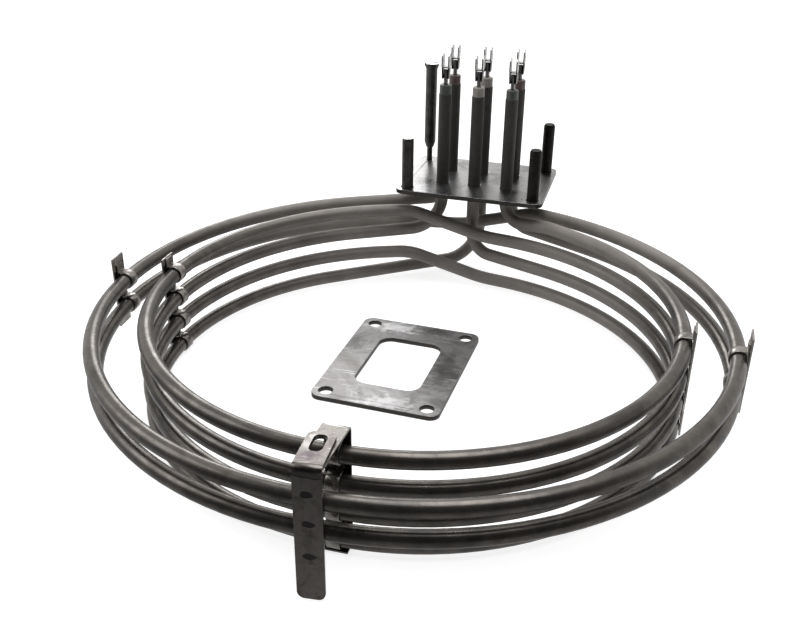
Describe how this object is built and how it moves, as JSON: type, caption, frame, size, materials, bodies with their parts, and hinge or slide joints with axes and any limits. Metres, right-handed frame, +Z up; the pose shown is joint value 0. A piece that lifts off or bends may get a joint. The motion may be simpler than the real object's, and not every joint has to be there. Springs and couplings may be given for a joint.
{
  "type": "tubular heating element",
  "caption": "Ring heater for an oven fan: sheathed elements wound as two nested stacks, clipped front and sides, leads brought up through a rectangular studded flange to fork terminals",
  "frame": {"origin": "middle of the flange's upper face, between the two rows of leads", "axes": "+Z up along the leads, away from the turns; +Y from the middle of the turns towards the flange; +X along the flange's long side, to the right seen from the front bracket"},
  "size_m": [0.3619, 0.3897, 0.1585],
  "materials": {
    "sheath_steel": "dark annealed stainless tube, semi-gloss, brownish grey",
    "magnesia": "compacted white powder, matt",
    "seal_beige": "light beige-grey bead, satin",
    "seal_grey": "dark grey-green bead, satin",
    "seal_red": "dark reddish bead, satin",
    "pin_steel": "plain drawn steel",
    "terminal_steel": "bright stamped sheet, light scratches",
    "stud_steel": "blackened steel, fine rough texture",
    "nut_steel": "turned steel, semi-gloss",
    "flange_steel": "rolled sheet, bluish grey, softly reflecting",
    "plate_steel": "bright rolled sheet with scratches and cloudy patches",
    "strap_steel": "rolled strip, heat stained near the spot welds"
  },
  "bodies": {
    "root": {"backing_plate": "plate_steel", "cold_pin_back_left": "pin_steel", "cold_pin_back_middle": "pin_steel", "cold_pin_back_right": "pin_steel", "cold_pin_front_left": "pin_steel", "cold_pin_front_middle": "pin_steel", "cold_pin_front_right": "pin_steel", "flange": "flange_steel", "fork_terminal_back_left": "terminal_steel", "fork_terminal_back_middle": "terminal_steel", "fork_terminal_back_right": "terminal_steel", "fork_terminal_front_left": "terminal_steel", "fork_terminal_front_middle": "terminal_steel", "fork_terminal_front_right": "terminal_steel", "front_bracket": "strap_steel", "front_inner_saddle": "strap_steel", "front_outer_saddle": "strap_steel", "front_strap": "strap_steel", "left_inner_saddle": "strap_steel", "left_inner_strap": "strap_steel", "left_outer_saddle": "strap_steel", "left_outer_strap": "strap_steel", "lower_inner_element": "sheath_steel", "outer_element": "sheath_steel", "packing_back_left": "magnesia", "packing_back_middle": "magnesia", "packing_back_right": "magnesia", "packing_front_left": "magnesia", "packing_front_middle": "magnesia", "packing_front_right": "magnesia", "right_inner_saddle": "strap_steel", "right_inner_strap": "strap_steel", "right_outer_saddle": "strap_steel", "right_outer_strap": "strap_steel", "seal_back_left": "seal_red", "seal_back_middle": "seal_beige", "seal_back_right": "seal_red", "seal_front_left": "seal_grey", "seal_front_middle": "seal_beige", "seal_front_right": "seal_grey", "sleeve_nut": "nut_steel", "slim_stud": "nut_steel", "stud_back_right": "stud_steel", "stud_front_left": "stud_steel", "stud_front_right": "stud_steel", "upper_inner_element": "sheath_steel"}
  },
  "joints": []
}
